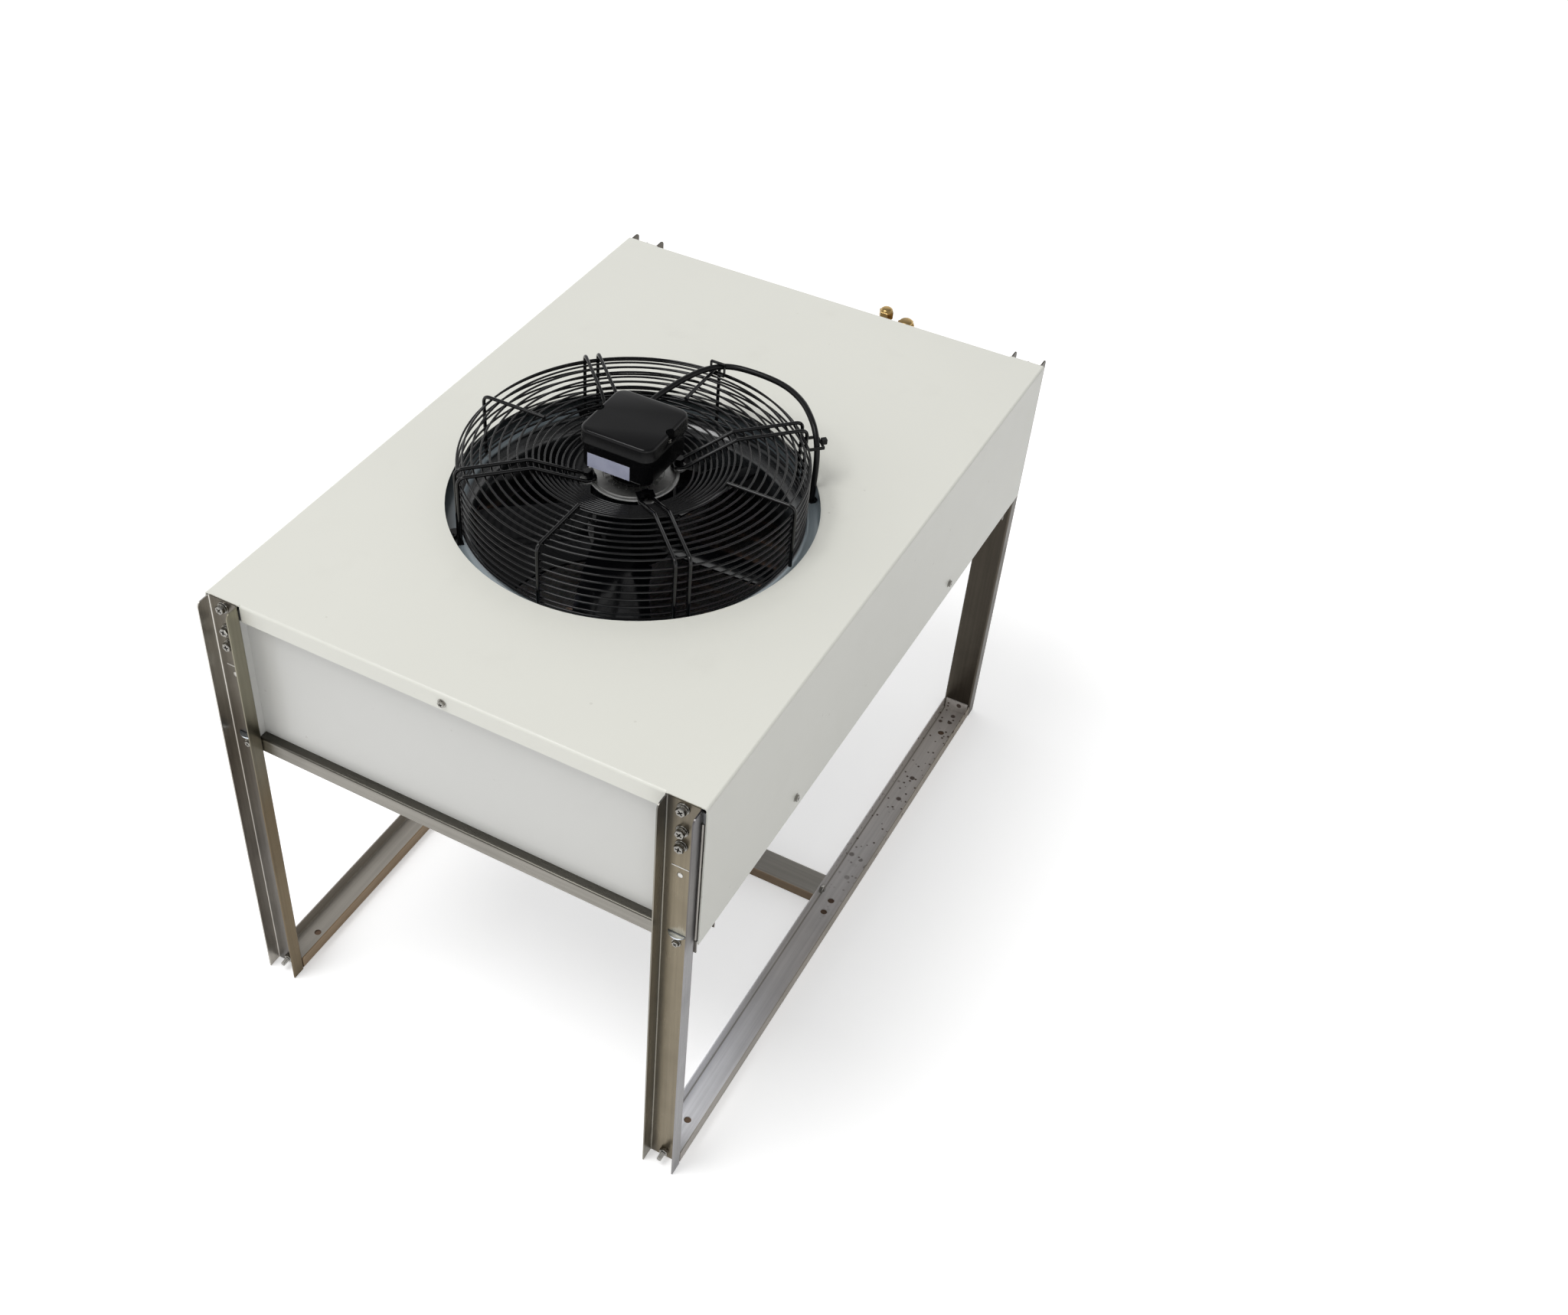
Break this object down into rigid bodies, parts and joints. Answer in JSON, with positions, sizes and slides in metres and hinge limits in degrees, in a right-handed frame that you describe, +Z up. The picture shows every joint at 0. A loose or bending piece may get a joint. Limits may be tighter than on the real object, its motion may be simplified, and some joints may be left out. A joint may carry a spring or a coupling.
{
  "type": "remote condenser",
  "caption": "Air-cooled remote condenser: flat finned coil in a painted sheet case, axial fan with a wire guard on top, on a stand of folded stainless channels",
  "frame": {"origin": "on the floor, in the middle of the rectangle of the four corner anchor holes of the floor rails", "axes": "+Z up, +Y from the short front side to the back with the valves, +X to the right as seen from the front"},
  "size_m": [0.6052, 0.957, 0.7154],
  "materials": {
    "painted_case": "satin powder coat",
    "painted_inner": "satin powder coat",
    "stainless": "folded stainless sheet",
    "galvanised": "galvanised sheet",
    "screws": "zinc plated",
    "black_wire": "gloss black coat",
    "shroud_paint": "gloss dark blue-grey",
    "fan_black": "black coat",
    "motor_alloy": "cast and turned",
    "shaft_steel": "ground",
    "windings": "varnished laminations",
    "box_plastic": "moulded black",
    "cable_rubber": "black sheath",
    "fins": "thin fins",
    "copper": "copper tube",
    "brass": "machined brass"
  },
  "bodies": {
    "condenser": {"beam_nuts": "screws", "cable_gland": "box_plastic", "cable_grommet": "cable_rubber", "cable_ties": "cable_rubber", "coil_fins": "fins", "cover": "painted_case", "cover_screws": "screws", "fan_deck": "galvanised", "fan_shroud": "shroud_paint", "floor_cross_beam": "stainless", "floor_rail_left": "stainless", "floor_rail_right": "stainless", "foot_bolts": "screws", "front_panel": "painted_inner", "front_rail": "stainless", "gas_pipe": "copper", "gas_valve": "brass", "guard_feet": "black_wire", "guard_foot_screws": "screws", "guard_struts": "black_wire", "guard_top_rings": "black_wire", "guard_wall_rings": "black_wire", "leg_front_left": "stainless", "leg_front_right": "stainless", "leg_rear_left": "stainless", "leg_rear_right": "stainless", "leg_screws": "screws", "lid_screws": "screws", "liquid_pipe": "copper", "liquid_valve": "brass", "motor_cable": "cable_rubber", "motor_clamp_screws": "screws", "rail_screws": "screws", "rear_panel": "painted_inner", "rear_rail": "stainless", "return_bends_left": "copper", "return_bends_right": "copper", "side_plate_left": "stainless", "side_plate_right": "stainless", "stator_core": "windings", "stator_cover": "motor_alloy", "terminal_box": "box_plastic", "terminal_box_lid": "box_plastic", "tube_sheet_left": "galvanised", "tube_sheet_right": "galvanised", "valve_bracket": "galvanised", "valve_caps": "brass"},
    "fan": {"rotor_can": "fan_black", "rotor_shaft": "shaft_steel", "fan_impeller": "fan_black"}
  },
  "joints": [
    {"name": "fan_spin", "type": "hinge", "parent": "condenser", "child": "fan", "pos_m": [0, -0.0625, 0.58], "axis": [0, 0, 1], "continuous": true}
  ]
}
